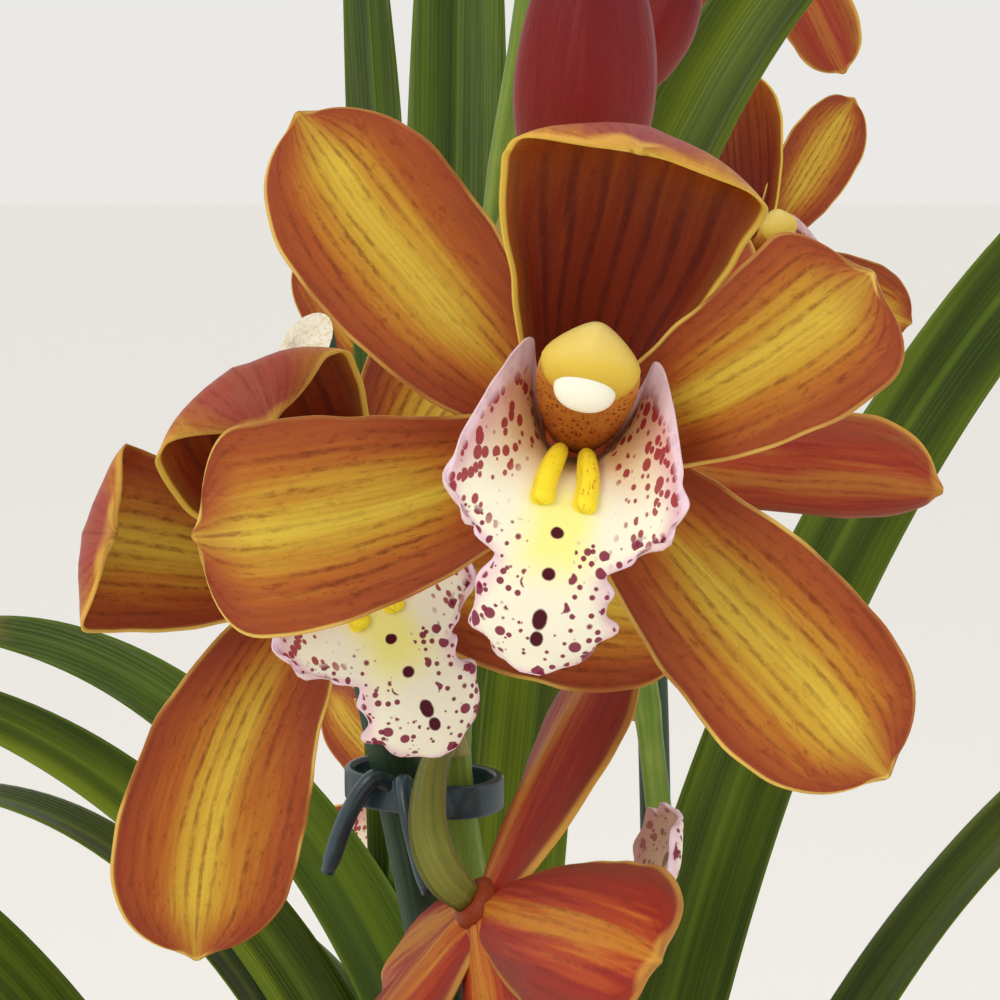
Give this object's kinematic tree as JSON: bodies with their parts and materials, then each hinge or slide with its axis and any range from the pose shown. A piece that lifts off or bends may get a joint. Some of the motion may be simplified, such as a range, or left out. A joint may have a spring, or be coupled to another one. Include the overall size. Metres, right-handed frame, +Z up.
{
  "type": "potted cymbidium orchid",
  "caption": "Potted cymbidium orchid in flower: clay pot of bark, strap leaves from pseudobulbs, and arching flower spikes tied to canes.",
  "frame": {"origin": "middle of the flat foot of the pot", "axes": "+Z up, -Y towards the front that the flowers face, +X to the right seen from the front"},
  "size_m": [0.563, 0.5301, 0.7719],
  "materials": {
    "tepal": "satin petal skin, orange over yellow with red-brown veins",
    "lip": "satin petal skin, cream with crimson spots and a pink edge",
    "column": "waxy, yellow with a white anther",
    "bud": "waxy dark red",
    "stem": "waxy olive green",
    "leaf": "satin green with fine lengthwise veins",
    "cane": "dark green stain, with a pale cut end",
    "clip": "smooth dark teal plastic",
    "clay": "unglazed fired clay",
    "bark": "rough dry bark chips"
  },
  "bodies": {
    "root": {"pot": "clay", "bark": "bark", "shoot_1": "leaf", "shoot_2": "leaf", "shoot_3": "leaf", "shoot_4": "leaf", "cane_1": "cane", "cane_2": "cane", "spike_1": "stem", "spike_2": "stem", "clip_1": "clip", "clip_2": "clip", "clip_3": "clip", "flower_1_tepals": "tepal", "flower_1_lip": "lip", "flower_1_column": "column", "flower_2_tepals": "tepal", "flower_2_lip": "lip", "flower_2_column": "column", "flower_3_tepals": "tepal", "flower_3_lip": "lip", "flower_3_column": "column", "flower_4_tepals": "tepal", "flower_4_lip": "lip", "flower_4_column": "column", "flower_5_tepals": "tepal", "flower_5_lip": "lip", "flower_5_column": "column", "flower_6_tepals": "tepal", "flower_6_lip": "lip", "flower_6_column": "column", "flower_7_tepals": "tepal", "flower_7_lip": "lip", "flower_7_column": "column", "flower_8_tepals": "tepal", "flower_8_lip": "lip", "flower_8_column": "column", "flower_9_tepals": "tepal", "flower_9_lip": "lip", "flower_9_column": "column", "flower_10_tepals": "tepal", "flower_10_lip": "lip", "flower_10_column": "column", "flower_11_tepals": "tepal", "flower_11_lip": "lip", "flower_11_column": "column", "bud_1": "bud", "bud_2": "bud", "bud_3": "bud", "bud_4": "bud", "bud_5": "bud"}
  },
  "joints": []
}
